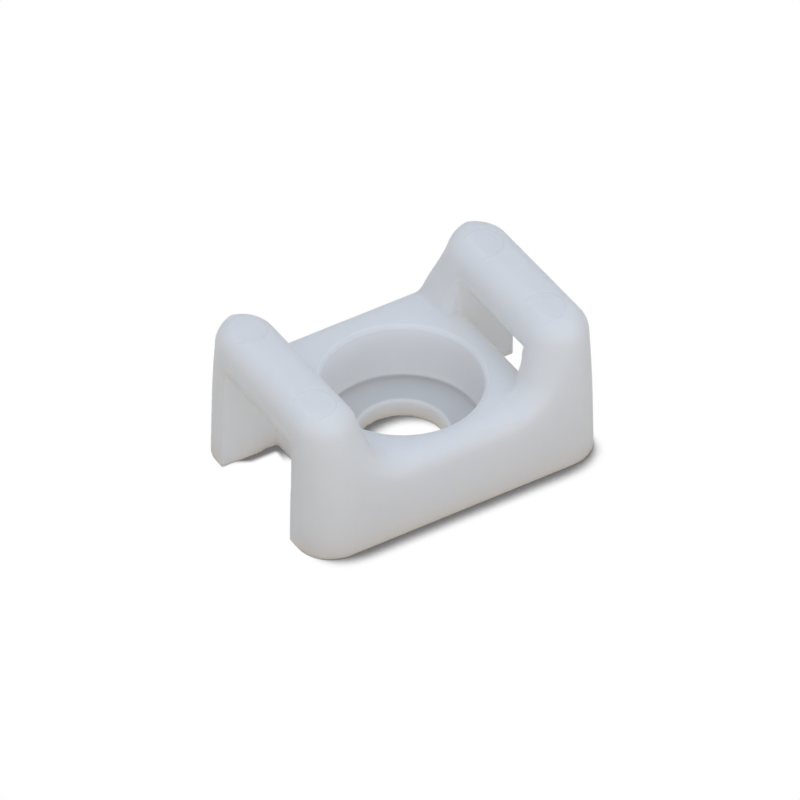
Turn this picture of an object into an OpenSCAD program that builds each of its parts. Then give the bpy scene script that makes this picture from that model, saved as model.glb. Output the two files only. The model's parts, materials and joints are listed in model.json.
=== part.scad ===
// Saddle mount for cable ties: one injection moulding in natural nylon.
// A screw through the counterbored middle block holds it to a panel. The tie
// goes in at one end, under the first bridge, over the block, and out under
// the second bridge, and the cables lie in the saddle between the two ears.
// Lengths in millimetres. X runs along the tie, Y across it, Z away from the panel.

/* [Body] */
// Overall length at the base, along the tie
body_l = 22.4; // [21.6:0.2:25]
// Overall width at the base, across the tie
body_w = 15.2; // [14.2:0.2:18]
// Overall height, panel to the crest of the ears
body_h = 11; // [10.4:0.1:13]
// Radius of the four upright corners in plan
corner_r = 2.5; // [1.6:0.1:2.8]
// Lean of the upright outer faces, so that the part leaves the mould
draft_deg = 1.1; // [0.5:0.1:2]

/* [Middle block] */
// Height of the saddle floor above the panel
deck_h = 5.75; // [5:0.05:6.5]
// Rolled edge of the saddle floor, front and back
deck_edge_r = 0.7; // [0.5:0.1:1.2]

/* [Tie passage] */
// Clear width between the side walls of the passage
tie_slot_w = 8.3; // [7:0.1:9]
// Height of each bridge's underside above the panel
bridge_z = 8.05; // [7.6:0.05:8.5]
// Length of each tunnel, from the end of the body to the middle block
tunnel_l = 4.2; // [3.8:0.05:4.6]
// Slant of the lead-in under each bridge's inner edge, from upright
lead_deg = 26; // [22:1:32]
// Rounding of the block's edge that the tie bends over
block_edge_r = 0.3; // [0.2:0.05:0.5]

/* [Ears] */
// Thickness of each ear along the tie, at its crest
ear_t = 4.15; // [3.8:0.05:4.4]
// Rounding of the crest, along its length and round both ends
crest_r = 1.4; // [1:0.1:1.8]
// How far the crest's ends stand in from the base width, each side
crest_end_inset = 0.55; // [0.3:0.05:0.8]
// Length of the ear's inner slope on the saddle floor, from the throat inwards
slope_run = 1.25; // [0.8:0.05:1.5]
// Rounding of the slope's outer edges
slope_edge_r = 1; // [0.6:0.1:1.4]

/* [Ejector marks] */
// Diameter of the shallow round marks that the mould's ejector pins leave
pin_d = 2.8; // [2:0.1:3.2]
// Depth of the marks below the crest
pin_depth = 0.08; // [0.04:0.02:0.14]
// Distance between the two marks on each crest
pin_gap = 8.2; // [7.4:0.1:9]

/* [Screw seat] */
// Counterbore diameter, for the head of an M5 pan head screw
seat_d = 10.8; // [10:0.1:11]
// Widening of the counterbore's mouth, each side
seat_lead = 0.25; // [0.1:0.05:0.4]
// Screw clearance hole diameter
screw_d = 6; // [5.5:0.1:6.6]
// Broken edge at the top of the screw hole
screw_edge = 0.15; // [0.1:0.05:0.3]
// Thickness of the web that the screw head pulls down on
web_t = 1.35; // [1:0.05:2]

/* [Hidden] */

half_l = body_l / 2;
half_w = body_w / 2;
lean = tan(draft_deg);
block_half_l = half_l - tunnel_l;
foot_x = block_half_l - slope_run;
crest_end_r = ear_t / 2;
crest_z = body_h - crest_r;
crest_x = half_l - crest_z * lean - crest_end_r + 0.03;
crest_y = half_w - crest_end_inset - crest_end_r;
lead_rise = 1.6;
cut = 1;

// End profile of the middle block: drafted sides and rolled upper edges
module block_profile() {
    top_w = half_w - deck_h * lean;
    polygon([
        [-half_w, 0],
        [half_w, 0],
        [top_w, deck_h - deck_edge_r],
        [-top_w, deck_h - deck_edge_r],
    ]);
    translate([-top_w + deck_edge_r, 0])
        square([2 * (top_w - deck_edge_r), deck_h]);
    for (y = [-1, 1])
        translate([y * (top_w - deck_edge_r), deck_h - deck_edge_r])
            circle(r = deck_edge_r, $fn = 96);
}

// The block runs out into both ears
module middle_block() {
    rotate([90, 0, 90])
        linear_extrude(height = 2 * (foot_x + slope_edge_r), center = true)
            block_profile();
}

// Thin upright disc whose outer side stands at x and at side y of the body
module post_slice(x, y, r, z) {
    translate([x - r, y * (half_w - z * lean - r), z])
        cylinder(r = r, h = 0.01, $fn = 48);
}

// Round end of a crest: a disc with a rounded rim
module crest_end() {
    rotate_extrude($fn = 48)
        intersection() {
            translate([crest_end_r - crest_r, 0])
                circle(r = crest_r, $fn = 32);
            translate([0, -crest_r])
                square([crest_end_r, 2 * crest_r]);
        }
}

// One ear: drafted corners, a rounded crest and a slope down to the saddle floor
module ear() {
    hull()
        for (y = [-1, 1]) {
            post_slice(half_l, y, corner_r, 0);
            post_slice(half_l - deck_h * lean, y, corner_r, deck_h);
            post_slice(foot_x + 2 * slope_edge_r, y, slope_edge_r, 0);
            post_slice(foot_x + 2 * slope_edge_r, y, slope_edge_r, deck_h - 0.01);
            translate([crest_x, y * crest_y, crest_z])
                crest_end();
        }
}

// Cutter with the given side profile, as wide as the given width
module across(w) {
    translate([0, w / 2, 0])
        rotate([90, 0, 0])
            linear_extrude(height = w)
                children();
}

// Tunnel under the bridge, and the throat over the block's rounded edge, with a
// slanted lead-in under the bridge's inner edge
module tie_way() {
    across(tie_slot_w) {
        translate([block_half_l, -cut])
            square([tunnel_l + cut, bridge_z + cut]);
        difference() {
            polygon([
                [block_half_l + cut, deck_h - block_edge_r],
                [block_half_l + cut, bridge_z],
                [block_half_l, bridge_z],
                [block_half_l - lead_rise * tan(lead_deg), bridge_z + lead_rise],
                [foot_x - cut, bridge_z + lead_rise],
                [foot_x - cut, deck_h],
                [block_half_l - block_edge_r, deck_h],
                [block_half_l - block_edge_r, deck_h - block_edge_r],
            ]);
            translate([block_half_l - block_edge_r, deck_h - block_edge_r])
                circle(r = block_edge_r, $fn = 64);
        }
    }
}

// The two ejector marks on one crest
module pin_marks() {
    for (y = [-1, 1])
        translate([crest_x, y * pin_gap / 2, body_h - pin_depth])
            cylinder(d = pin_d, h = cut, $fn = 64);
}

// Counterbore, screw hole and their broken edges
module screw_seat() {
    translate([0, 0, web_t])
        cylinder(d = seat_d, h = deck_h, $fn = 128);
    translate([0, 0, deck_h - seat_lead])
        cylinder(d1 = seat_d, d2 = seat_d + 4 * seat_lead, h = 2 * seat_lead, $fn = 128);
    translate([0, 0, -cut])
        cylinder(d = screw_d, h = web_t + 2 * cut, $fn = 96);
    translate([0, 0, web_t - screw_edge])
        cylinder(d1 = screw_d, d2 = screw_d + 4 * screw_edge, h = 2 * screw_edge, $fn = 96);
}

module tie_mount() {
    color([0.9, 0.91, 0.92])
    difference() {
        union() {
            middle_block();
            ear();
            mirror([1, 0, 0]) ear();
        }
        tie_way();
        mirror([1, 0, 0]) tie_way();
        pin_marks();
        mirror([1, 0, 0]) pin_marks();
        screw_seat();
    }
}

tie_mount();
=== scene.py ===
"""Saddle mount for cable ties, moulded in one piece from natural nylon, on a pale table."""

import json
import math

import bpy
import numpy as np
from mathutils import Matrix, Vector


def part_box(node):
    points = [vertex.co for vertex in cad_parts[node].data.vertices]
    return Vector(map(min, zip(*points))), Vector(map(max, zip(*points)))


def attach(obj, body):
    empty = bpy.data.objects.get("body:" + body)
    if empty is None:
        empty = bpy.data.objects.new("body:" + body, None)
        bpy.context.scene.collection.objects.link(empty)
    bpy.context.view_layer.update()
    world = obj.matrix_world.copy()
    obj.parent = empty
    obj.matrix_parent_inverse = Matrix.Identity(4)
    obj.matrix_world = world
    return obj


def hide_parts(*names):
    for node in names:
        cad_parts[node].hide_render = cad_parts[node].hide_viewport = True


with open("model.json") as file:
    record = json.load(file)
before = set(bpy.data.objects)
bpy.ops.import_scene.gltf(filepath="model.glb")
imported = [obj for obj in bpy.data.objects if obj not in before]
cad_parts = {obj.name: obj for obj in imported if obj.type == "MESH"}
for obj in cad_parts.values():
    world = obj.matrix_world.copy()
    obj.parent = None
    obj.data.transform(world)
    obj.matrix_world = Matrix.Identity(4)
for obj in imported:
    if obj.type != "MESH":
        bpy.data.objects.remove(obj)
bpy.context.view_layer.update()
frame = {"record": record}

# ---------------------------------------------------------------------------
# The moulding
# One shot of natural nylon 6.6: a middle block with a counterbored screw hole,
# and an ear at each end that bridges the tunnel for the tie. Every edge has the
# small round that the mould's cutters left, and the walls lean to let go of it.
# ---------------------------------------------------------------------------

MM = 0.001

# Base, walls and middle block; the saddle's front edge is rolled more than its back edge
base_corner, top_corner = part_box("tie_mount")
half_l, half_w, body_h = top_corner
lean = math.tan(math.radians(1.1))
corner_r = 2.55 * MM
base_edge_r = 0.12 * MM
deck_h = 5.75 * MM
deck_edge_r = 0.7 * MM
deck_front_r = 1.25 * MM
front_from, front_to = 2.0 * MM, 6.0 * MM

# Screw hole and counterbore
mounts = {mount["name"]: mount for mount in frame["record"]["mounts"]}
hole_r = mounts["screw_hole"]["dims"]["r_mm"] * MM
seat_r = mounts["head_recess"]["dims"]["r_mm"] * MM
web_top = mounts["head_seat"]["pos_m"][2]
mouth_chamfer = 0.25 * MM
hole_edge = 0.15 * MM
seat_corner_r = 0.12 * MM
bore_edge_r = 0.08 * MM

# Tie passage: the tunnels, and the throats that the other mould half shapes. It is
# turned and tilted a little, and its draft narrows it upwards.
tunnel_half_w = 4.2 * MM
throat_half_w = 4.13 * MM
tunnel_l = 4.2 * MM
bridge_z = 8.05 * MM
lead_slope = 0.48
way_turn = 0.013
way_tilt = 0.02
way_draft = 0.012

# Rounds of the passage's edges and corners; the tie bends over the block's edge
cut_edge_r = 0.13 * MM
block_edge_r = 0.3 * MM
block_edge_reach, block_edge_rise, block_edge_fade = 0.8 * MM, 0.5 * MM, 0.4 * MM
throat_edge_r = 0.45 * MM
throat_edge_w = 0.5 * MM
throat_edge_below, throat_edge_above = 0.6 * MM, 0.4 * MM
throat_corner_r = 0.1 * MM
bridge_corner_r = 0.2 * MM
block_corner_r = 0.15 * MM

# Ears: the crest's rounding, its corners in plan, and the slope to the deck
ear_lean = 0.119
lean_ease = 0.12 * MM
crest_r = 1.37 * MM
crest_outer_r = 1.52 * MM
crest_turn_from, crest_turn_to = 2.2 * MM, 0.9 * MM
crest_inner_corner_r = 2.24 * MM
crest_outer_corner_r = 2.4 * MM
foot_x = half_l - tunnel_l - 1.26 * MM
inner_slope = 0.287
throat_fillet = 0.12 * MM
foot_fillet = 0.16 * MM
front_fillet = 1.5 * MM
fillet_growth = 0.9 * MM

# Marks of the four ejector pins, which stand a little off the middle of each crest
pin_places_mm = [(8.5, 3.7), (8.45, -3.9), (-9.35, -4.35), (-9.15, 4.45)]
pin_places = [(pin_x * MM, pin_y * MM) for pin_x, pin_y in pin_places_mm]
pin_r = 1.4 * MM
pin_depth = 0.12 * MM


def ramp(value, low, high):
    """Smooth rise from 0 at low to 1 at high."""
    share = np.clip((value - low) / (high - low), 0.0, 1.0)
    return share * share * (3 - 2 * share)


def rounded(a, b, radius):
    """Where solids a and b overlap, with their common edge rounded."""
    return np.minimum(-radius, np.maximum(a, b)) + np.hypot(
        np.maximum(radius + a, 0), np.maximum(radius + b, 0)
    )


def blended(a, b, radius):
    """Solids a and b together, with a hollow fillet where they meet."""
    return np.maximum(radius, np.minimum(a, b)) - np.hypot(
        np.maximum(radius - a, 0), np.maximum(radius - b, 0)
    )


def eased(a, b, width):
    """Where solids a and b overlap, with a very shallow corner between them eased."""
    share = np.maximum(width - np.abs(a - b), 0) / width
    return np.maximum(a, b) + share * share * width / 4


def outer_form(x, y, z, way_y, front):
    """Block, ears and throats: distance to their skin, negative inside."""
    side = y - half_w + z * lean
    ear_side = y - half_w + deck_h * lean + (z - deck_h) * ear_lean
    side = eased(side, ear_side, lean_ease)
    end = x - half_l + z * lean

    # The ear's inner slope, cut by the throat and its lead-in
    slope = (foot_x + inner_slope * (z - deck_h) - x) / math.hypot(1, inner_slope)
    lead = (x - (half_l - tunnel_l) + lead_slope * (z - bridge_z)) / math.hypot(1, lead_slope)
    throat = rounded(way_y - throat_half_w, lead, throat_corner_r)
    beside = ramp(way_y, throat_half_w - throat_edge_w, throat_half_w)
    beside = beside * (1 - ramp(z, bridge_z - throat_edge_below, bridge_z + throat_edge_above))
    slope = rounded(slope, -throat, cut_edge_r + (throat_edge_r - cut_edge_r) * beside)

    # The slope's foot on the deck
    away = ramp(way_y, throat_half_w, throat_half_w + fillet_growth)
    fillet = foot_fillet + (front_fillet - foot_fillet) * front
    top = blended(z - deck_h, slope, throat_fillet + (fillet - throat_fillet) * away)

    # Rolled upper edges and upright corners, which widen towards the crest
    rise = ramp(z, deck_h - deck_edge_r, body_h - crest_r)
    roll_r = deck_edge_r + (deck_front_r - deck_edge_r) * front
    top_edge_r = roll_r + (crest_inner_corner_r - roll_r) * rise
    end_edge_r = corner_r + (crest_outer_corner_r - corner_r) * rise
    walls = np.maximum(rounded(top, side, top_edge_r), rounded(end, side, end_edge_r))
    outward = ramp(x, half_l - crest_turn_from, half_l - crest_turn_to)
    crest = rounded(walls, z - body_h, crest_r + (crest_outer_r - crest_r) * outward)
    return rounded(crest, -z, base_edge_r)


def tie_tunnel(x, way_y, z):
    """Space under each bridge, from the end of the body to the block."""
    inner = (half_l - tunnel_l) - x
    section = rounded(way_y - tunnel_half_w, z - bridge_z, bridge_corner_r)
    return rounded(section, inner, block_corner_r)


def screw_seat(x, y, z):
    """Counterbore for the screw's head, its softened mouth, and the screw hole."""
    reach = np.hypot(x, y)
    bore = rounded(reach - seat_r, web_top - z, seat_corner_r)
    mouth = np.maximum(
        (reach - seat_r + deck_h - mouth_chamfer - z) / math.sqrt(2), z - deck_h - mouth_chamfer
    )
    break_edge = np.maximum(
        (reach - hole_r + web_top - hole_edge - z) / math.sqrt(2), z - web_top - hole_edge
    )
    return np.minimum(np.minimum(bore, mouth), np.minimum(reach - hole_r, break_edge))


def pin_marks(x, y, z):
    """Shallow round recesses where the ejector pins pushed on the crests."""
    reach = np.minimum.reduce([np.hypot(x - pin_x, y - pin_y) for pin_x, pin_y in pin_places])
    return np.maximum(reach - pin_r, body_h - pin_depth - z)


def mount_form(x, y, z):
    """Whole moulding: distance to its skin, negative inside."""
    marks = pin_marks(x, y, z)
    way_y = np.abs(y + way_turn * x + way_tilt * z) + way_draft * z
    front = ramp(-y, front_from, front_to)
    x = np.abs(x)
    y = np.abs(y)
    reach_x = half_l - tunnel_l + block_edge_reach
    reach_z = deck_h + block_edge_rise
    over_block = (1 - ramp(x, reach_x, reach_x + block_edge_fade)) * (
        1 - ramp(z, reach_z, reach_z + block_edge_fade)
    )
    edge_r = cut_edge_r + (block_edge_r - cut_edge_r) * over_block
    solid = rounded(outer_form(x, y, z, way_y, front), -tie_tunnel(x, way_y, z), edge_r)
    solid = rounded(solid, -screw_seat(x, y, z), bore_edge_r)
    return np.maximum(solid, -marks)


def net_over(form, low, high, step):
    """Quad mesh over a form's skin: one point in each grid cell that the skin crosses."""
    before, beyond = 1.37 * step, 1.6 * step
    axes = [np.arange(start - before, end + beyond, step) for start, end in zip(low, high)]
    values = form(axes[0][:, None, None], axes[1][None, :, None], axes[2][None, None, :])
    inside = values < 0
    cells = tuple(len(axis) - 1 for axis in axes)
    total = np.zeros(cells + (3,))
    count = np.zeros(cells, int)
    crossings = []
    for d in range(3):
        first = [slice(None)] * 3
        second = [slice(None)] * 3
        first[d], second[d] = slice(None, -1), slice(1, None)
        at = list(np.nonzero(inside[tuple(first)] != inside[tuple(second)]))
        next_at = [index + (d == e) for e, index in enumerate(at)]
        here, there = values[tuple(at)], values[tuple(next_at)]
        point = np.stack([axes[e][at[e]] for e in range(3)], 1)
        point[:, d] += here / (here - there) * step
        around = []
        for back_e, back_f in ((0, 0), (1, 0), (1, 1), (0, 1)):
            cell = list(at)
            cell[(d + 1) % 3] = at[(d + 1) % 3] - back_e
            cell[(d + 2) % 3] = at[(d + 2) % 3] - back_f
            np.add.at(total, tuple(cell), point)
            np.add.at(count, tuple(cell), 1)
            around.append(tuple(cell))
        crossings.append((around, here < 0))
    used = count > 0
    number = np.cumsum(used.ravel()).reshape(cells) - 1
    quads = []
    for around, leaving in crossings:
        ring = np.stack([number[cell] for cell in around], 1)
        ring[~leaving] = ring[~leaving][:, ::-1]
        quads.append(ring)
    return total[used] / count[used][:, None], np.concatenate(quads)


def skin_slope(form, points, reach):
    """How fast the form's distance grows along X, Y and Z at each point."""
    slope = np.empty_like(points)
    for d in range(3):
        ahead = points.copy()
        behind = points.copy()
        ahead[:, d] += reach
        behind[:, d] -= reach
        slope[:, d] = (form(*ahead.T) - form(*behind.T)) / (2 * reach)
    return slope


def settled(form, points, rounds):
    """The points moved onto the form's skin."""
    probe, least_slope = 0.004 * MM, 0.05
    for _ in range(rounds):
        slope = skin_slope(form, points, probe)
        size = np.maximum((slope**2).sum(1), least_slope)
        points = points - slope * (form(*points.T) / size)[:, None]
    return points


def crisp_marks(form, points):
    """The points by each pin mark's edge drawn onto two rings, one at each side of its step."""
    edge_reach, ring_gap = 0.09 * MM, 0.03 * MM
    below_mark, least_cut, least_reach = 0.02 * MM, 0.01 * MM, 0.1 * MM
    x, y, z = points.T
    sunk = form(x, y, np.full_like(z, body_h - pin_depth - below_mark)) < -least_cut
    moved = points.copy()
    near = np.zeros(len(points), bool)
    for pin_x, pin_y in pin_places:
        reach = np.hypot(x - pin_x, y - pin_y)
        here = (np.abs(reach - pin_r) < edge_reach) & (z > body_h - 2 * pin_depth) & sunk
        side = np.where(reach < pin_r, -1, 1)
        scale = (pin_r + side * ring_gap) / np.maximum(reach, least_reach)
        level = np.where(side < 0, body_h - pin_depth, body_h)
        drawn = np.stack([pin_x + (x - pin_x) * scale, pin_y + (y - pin_y) * scale, level], 1)
        moved[here] = drawn[here]
        near |= here
    return np.where(near[:, None], settled(form, moved, 3), points)


NET_STEP = 0.14 * MM
points, quads = net_over(mount_form, base_corner, top_corner, NET_STEP)
points = crisp_marks(mount_form, settled(mount_form, points, 4))
moulding_mesh = bpy.data.meshes.new("nylon_moulding")
moulding_mesh.from_pydata(points.tolist(), [], quads.tolist())
moulding_mesh.validate()
moulding_mesh.shade_smooth()
moulding = bpy.data.objects.new("nylon_moulding", moulding_mesh)
bpy.context.scene.collection.objects.link(moulding)
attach(moulding, "root")
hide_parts("tie_mount")
print("moulding:", len(points), "points,", len(quads), "quads")


class Socket:
    """A socket of a material's node, on which Python's arithmetic adds Math nodes."""

    def __init__(self, tree, end=None):
        self.tree = tree
        self.end = end

    def node(self, kind, settings=None, values=None, output=0):
        """A node of this kind: its settings come first, then its sockets' values or links."""
        made = self.tree.nodes.new(kind)
        for name, value in (settings or {}).items():
            setattr(made, name, value)
        for name, value in (values or {}).items():
            if isinstance(value, Socket):
                self.tree.links.new(value.end, made.inputs[name])
            else:
                made.inputs[name].default_value = value
        return Socket(self.tree, made.outputs[output] if made.outputs else None)

    def maths(self, operation, first, second=0):
        return self.node("ShaderNodeMath", {"operation": operation}, {0: first, 1: second})

    def __add__(self, other):
        return self.maths("ADD", self, other)

    def __radd__(self, other):
        return self.maths("ADD", other, self)

    def __sub__(self, other):
        return self.maths("SUBTRACT", self, other)

    def __rsub__(self, other):
        return self.maths("SUBTRACT", other, self)

    def __mul__(self, other):
        return self.maths("MULTIPLY", self, other)

    def __rmul__(self, other):
        return self.maths("MULTIPLY", other, self)

    def size(self):
        return self.maths("ABSOLUTE", self)

    def root(self):
        return self.maths("SQRT", self)

    def part(self, axis):
        """One axis of a place or direction."""
        return self.node("ShaderNodeSeparateXYZ", values={0: self}, output=axis)

    def rise(self, low, high):
        """Smooth rise from 0 at low to 1 at high."""
        return self.node(
            "ShaderNodeMapRange",
            {"interpolation_type": "SMOOTHSTEP"},
            {"Value": self, "From Min": low, "From Max": high},
        )

    def fall(self, low, high):
        """Smooth fall from 1 at low to 0 at high."""
        return 1 - self.rise(low, high)

    def blend(self, share, first, second):
        """Colour between two colours."""
        return self.node(
            "ShaderNodeMix", {"data_type": "RGBA"}, {0: share, 6: first, 7: second}, output=2
        )

    def in_view(self):
        """1 for what the camera sees directly, mirrored or through something clear."""
        rays = ("Is Camera Ray", "Is Glossy Ray", "Is Transmission Ray")
        seen, mirrored, through = [self.node("ShaderNodeLightPath", output=ray) for ray in rays]
        return seen + mirrored + through


# Natural nylon: milky, so that light sinks in and comes out a little way off, with
# faint clouds from the melt's flow, sink waves, and the mould's fine satin texture.
nylon_cool = (0.845, 0.856, 0.882, 1)
nylon_warm = (0.824, 0.832, 0.85, 1)
# Painted light and shade: the next four colours lighten the hollows, darken the thin web, light
# up thin edges and grey the step round each pin mark
painted_cavity_light = (0.965, 0.965, 0.96, 1)
painted_web_shade = (0.55, 0.59, 0.63, 1)
painted_edge_glow = (0.97, 0.975, 0.98, 1)
painted_ring_shade = (0.78, 0.79, 0.81, 1)
clouds_per_m, mottle_per_m, grain_per_m = 210.0, 900.0, 6500.0
skin_depth = 6.0 * MM
skin_relief = 0.05 * MM

nylon = bpy.data.materials.new("natural_nylon")
nylon.use_nodes = True
nylon.node_tree.nodes.clear()
skin = Socket(nylon.node_tree)
place = skin.node("ShaderNodeTexCoord", output="Object")
place_x, place_y, height = place.part("X"), place.part("Y"), place.part("Z")
out_x, out_y = place_x.size(), place_y.size()
way_y = (place_y + way_turn * place_x + way_tilt * height).size() + way_draft * height
from_axis = (out_x * out_x + out_y * out_y).root()


def clouds(scale, detail):
    """Soft noise, with the number of its clouds to a metre."""
    return skin.node(
        "ShaderNodeTexNoise", values={"Vector": place, "Scale": scale, "Detail": detail}
    )


cloud = clouds(clouds_per_m, 3.0)
mottle = clouds(mottle_per_m, 4.0)
grain = clouds(grain_per_m, 2.0)
tone = skin.blend(0.7 * cloud + 0.3 * mottle, nylon_cool, nylon_warm)

# Painted light: inside the counterbore, the tunnels and the throats the colour is lightened for
# the light that comes through the walls
in_bore = from_axis.fall(seat_r, seat_r + 0.2 * MM) * height.fall(
    deck_h - 0.6 * MM, deck_h - 0.2 * MM
)
in_tunnel = (
    out_x.rise(half_l - tunnel_l - 0.5 * MM, half_l - tunnel_l)
    * way_y.fall(tunnel_half_w + 0.02 * MM, tunnel_half_w + 0.2 * MM)
    * height.fall(bridge_z, bridge_z + 0.15 * MM)
)
in_throat = (
    out_x.rise(foot_x + 0.1 * MM, foot_x + 0.4 * MM)
    * height.rise(deck_h + 0.05 * MM, deck_h + 0.3 * MM)
    * height.fall(bridge_z + 0.75 * MM, bridge_z + 0.9 * MM)
    * way_y.fall(throat_half_w - 0.3 * MM, throat_half_w - 0.1 * MM)
)
tone = skin.blend(skin.maths("MAXIMUM", in_bore + in_tunnel, in_throat), tone, painted_cavity_light)

# Painted shade: the thin web under the screw's head lets light through to the panel, so its
# colour is darkened
on_web = (
    in_bore
    * height.fall(web_top + 0.05 * MM, web_top + 0.4 * MM)
    * from_axis.rise(hole_r + 0.05 * MM, hole_r + 0.3 * MM)
)
tone = skin.blend(on_web, tone, painted_web_shade)

# Painted glow: the colour is lightened at the thin edges, the counterbore's mouth, the bridges'
# outer lower edges, and the lips above the lead-ins
on_mouth = (
    from_axis.rise(seat_r - 0.05 * MM, seat_r + 0.05 * MM)
    * from_axis.fall(seat_r + 0.22 * MM, seat_r + 0.34 * MM)
    * height.rise(deck_h - 0.4 * MM, deck_h - 0.3 * MM)
)
on_strip = (
    height.rise(bridge_z - 0.1 * MM, bridge_z)
    * height.fall(bridge_z + 0.15 * MM, bridge_z + 0.85 * MM)
    * out_x.rise(half_l - 0.5 * MM, half_l - 0.4 * MM)
    * way_y.fall(tunnel_half_w, tunnel_half_w + 0.2 * MM)
)
on_lip = (
    height.rise(bridge_z + 0.5 * MM, bridge_z + 0.65 * MM)
    * height.fall(bridge_z + 0.85 * MM, bridge_z + 1.0 * MM)
    * out_x.rise(foot_x + 0.6 * MM, foot_x + 0.8 * MM)
    * out_x.fall(half_l - tunnel_l, half_l - tunnel_l + 0.2 * MM)
    * way_y.fall(throat_half_w - 0.1 * MM, throat_half_w)
)
tone = skin.blend(on_mouth + on_strip + on_lip, tone, painted_edge_glow)

# Painted shade: a faint grey line at the step round each pin mark, where the step's shade falls
ring_w = 0.09 * MM
flat_place = skin.node(
    "ShaderNodeVectorMath", {"operation": "MULTIPLY"}, {0: place, 1: (1, 1, 0)}
)
from_pin = 1.0
for pin_x, pin_y in pin_places:
    to_pin = skin.node(
        "ShaderNodeVectorMath",
        {"operation": "DISTANCE"},
        {0: flat_place, 1: (pin_x, pin_y, 0)},
        output="Value",
    )
    from_pin = skin.maths("MINIMUM", to_pin, from_pin)
on_ring = (
    from_pin.rise(pin_r - ring_w, pin_r)
    * from_pin.fall(pin_r, pin_r + ring_w)
    * height.rise(body_h - 0.3 * MM, body_h - 0.2 * MM)
)
tone = skin.blend(on_ring, tone, painted_ring_shade)

surface = skin.node(
    "ShaderNodeBump",
    values={"Height": 0.8 * cloud + 0.15 * mottle + 0.05 * grain, "Distance": skin_relief},
)
plastic = skin.node(
    "ShaderNodeBsdfPrincipled",
    values={
        "Base Color": tone,
        "Roughness": 0.38 + 0.2 * mottle,
        "IOR": 1.53,
        "Normal": surface,
        "Subsurface Weight": 1.0,
        "Subsurface Radius": (1.0, 0.85, 0.7),
        "Subsurface Scale": skin_depth,
    },
)
skin.node("ShaderNodeOutputMaterial", values={"Surface": plastic})
moulding_mesh.materials.append(nylon)

# ---------------------------------------------------------------------------
# The table
# A wide sheet of white paper. It looks white around the mount, and keeps the
# mount's shadow close under its walls.
# ---------------------------------------------------------------------------

table_reach = 0.6
paper_bounce = (0.68, 0.62, 0.54, 1)
paper_shaded = (0.38, 0.31, 0.22, 1)
paper_lit = (1.0, 1.0, 1.0, 1)
shadow_reach = 2.05 * MM
shadow_dark = 0.15
sky_dark, sky_open = 0.33, 0.63
foot_shade_w = 4.5 * MM
wall_shadow = 0.6 * MM

corner_signs = [(-1, -1), (1, -1), (1, 1), (-1, 1)]
table_corners = [(x * table_reach, y * table_reach, 0) for x, y in corner_signs]
table_mesh = bpy.data.meshes.new("table")
table_mesh.from_pydata(table_corners, [], [(0, 1, 2, 3)])
table = bpy.data.objects.new("table", table_mesh)
bpy.context.scene.collection.objects.link(table)

paper = bpy.data.materials.new("table_paper")
paper.use_nodes = True
paper.node_tree.nodes.clear()
sheet = Socket(paper.node_tree)
spot = sheet.node("ShaderNodeTexCoord", output="Object")
spot_x, spot_y = spot.part("X").size(), spot.part("Y").size()

# Light comes in at the tunnels' open ends, and leaves a shadow only by the walls' feet
from_wall = wall_shadow * spot_x.rise(half_l - 2.2 * MM, half_l - 0.7 * MM) - spot_y
in_way = (
    spot_x.rise(half_l - tunnel_l, half_l - tunnel_l + 0.5 * MM)
    * spot_x.fall(half_l, half_l + 1.5 * MM)
    * from_wall.rise(-tunnel_half_w, wall_shadow - tunnel_half_w)
)

# What the paper throws back on the mount: less from the shaded strip at its foot
from_foot = sheet.maths("MAXIMUM", spot_x - half_l, spot_y - half_w)
paper_tone = sheet.blend(from_foot.rise(0.0, foot_shade_w), paper_shaded, paper_bounce)
paper_tone = sheet.blend(in_way, paper_tone, paper_lit)
bounce = sheet.node("ShaderNodeBsdfDiffuse", values={"Color": paper_tone})

# What is seen of it: white, with a soft shadow that falls forward
to_light = sheet.node("ShaderNodeCombineXYZ", values={"X": -0.15, "Y": 0.8, "Z": 0.55})
open_sky = sheet.node(
    "ShaderNodeAmbientOcclusion",
    {"samples": 24},
    {"Distance": shadow_reach, "Normal": to_light},
    output="AO",
)
shade = sheet.node(
    "ShaderNodeMapRange",
    {"interpolation_type": "SMOOTHSTEP"},
    {
        "Value": open_sky,
        "From Min": sky_dark,
        "From Max": sky_open,
        "To Min": shadow_dark,
        "To Max": 1.0,
    },
)
white = sheet.node(
    "ShaderNodeEmission", values={"Strength": sheet.maths("MAXIMUM", shade, in_way)}
)
look = sheet.node("ShaderNodeMixShader", values={0: sheet.in_view(), 1: bounce, 2: white})
sheet.node("ShaderNodeOutputMaterial", values={"Surface": look})
table_mesh.materials.append(paper)

# ---------------------------------------------------------------------------
# The light
# A pale room all round, warmer at its walls and cooler overhead, and two softboxes,
# one behind and above the mount, and one in front on its left.
# ---------------------------------------------------------------------------

room_walls = (0.60, 0.545, 0.48, 1)
room_ceiling = (0.70, 0.81, 0.96, 1)
backdrop_white = (1, 1, 1, 1)

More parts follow.
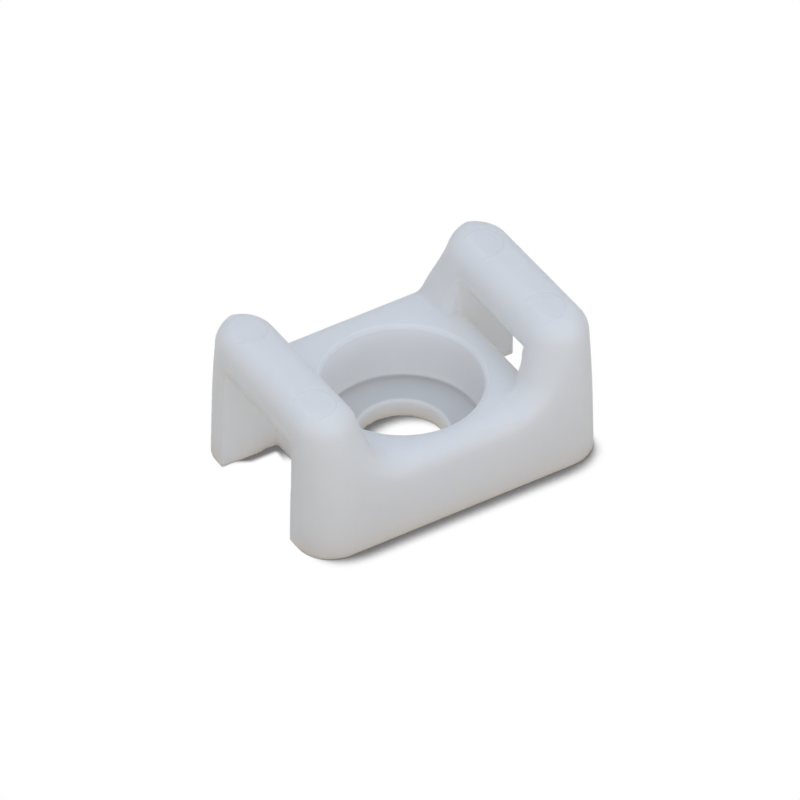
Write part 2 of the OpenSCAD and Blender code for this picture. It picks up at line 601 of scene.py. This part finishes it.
world = bpy.data.worlds.new("studio")
bpy.context.scene.world = world
world.use_nodes = True
world.node_tree.nodes.clear()
room = Socket(world.node_tree)
way = room.node("ShaderNodeTexCoord", output="Generated")
along, across = way.part("X"), way.part("Y")
level = 1.0 - 0.42 * along * along - 0.09 * along - 0.30 * across
colour = room.blend(way.part("Z"), room_walls, room_ceiling)
walls = room.node("ShaderNodeBackground", values={"Color": colour, "Strength": level})
backdrop = room.node("ShaderNodeBackground", values={"Color": backdrop_white, "Strength": 1.0})
both = room.node("ShaderNodeMixShader", values={0: room.in_view(), 1: walls, 2: backdrop})
room.node("ShaderNodeOutputWorld", values={"Surface": both})

mount_middle = Vector((0, 0, 5 * MM))


def softbox(name, place, size, power, colour):
    """Square lamp behind a diffuser, turned to the mount."""
    lamp = bpy.data.lights.new(name, "AREA")
    lamp.shape = "SQUARE"
    lamp.size = size
    lamp.energy = power
    lamp.color = colour
    holder = bpy.data.objects.new(name, lamp)
    holder.location = place
    holder.rotation_euler = (mount_middle - Vector(place)).to_track_quat("-Z", "Y").to_euler()
    bpy.context.scene.collection.objects.link(holder)


softbox("softbox_above", (-0.12, 0.22, 0.48), 0.35, 0.16, (0.95, 0.98, 1.0))
softbox("softbox_front", (-0.2, -0.4, 0.35), 0.3, 0.22, (1.0, 0.99, 0.97))

# ---------------------------------------------------------------------------
# The camera
# A long lens on a stand, in front of the mount on its left and looking down on it,
# so that the lines of the base stay almost parallel.
# ---------------------------------------------------------------------------

turn = math.radians(-31.883)
tilt = math.radians(40.356)
distance = 0.73491
aim_height = 3 * MM
aim_right, aim_up = -0.147 * MM, 0.720 * MM

camera_data = bpy.data.cameras.new("camera")
camera_data.sensor_width = 36
camera_data.lens = 505.38
camera_data.clip_start = 0.01
camera_data.clip_end = 10
camera = bpy.data.objects.new("camera", camera_data)
bpy.context.scene.collection.objects.link(camera)
away = Vector((math.sin(turn) * math.cos(tilt), -math.cos(turn) * math.cos(tilt), math.sin(tilt)))
right = Vector((math.cos(turn), math.sin(turn), 0))
up = right.cross(-away)
aim = Vector((0, 0, aim_height)) + aim_right * right + aim_up * up
camera.location = aim + distance * away
camera.rotation_euler = (-away).to_track_quat("-Z", "Y").to_euler()
bpy.context.scene.camera = camera
bpy.context.scene.view_settings.view_transform = "Standard"
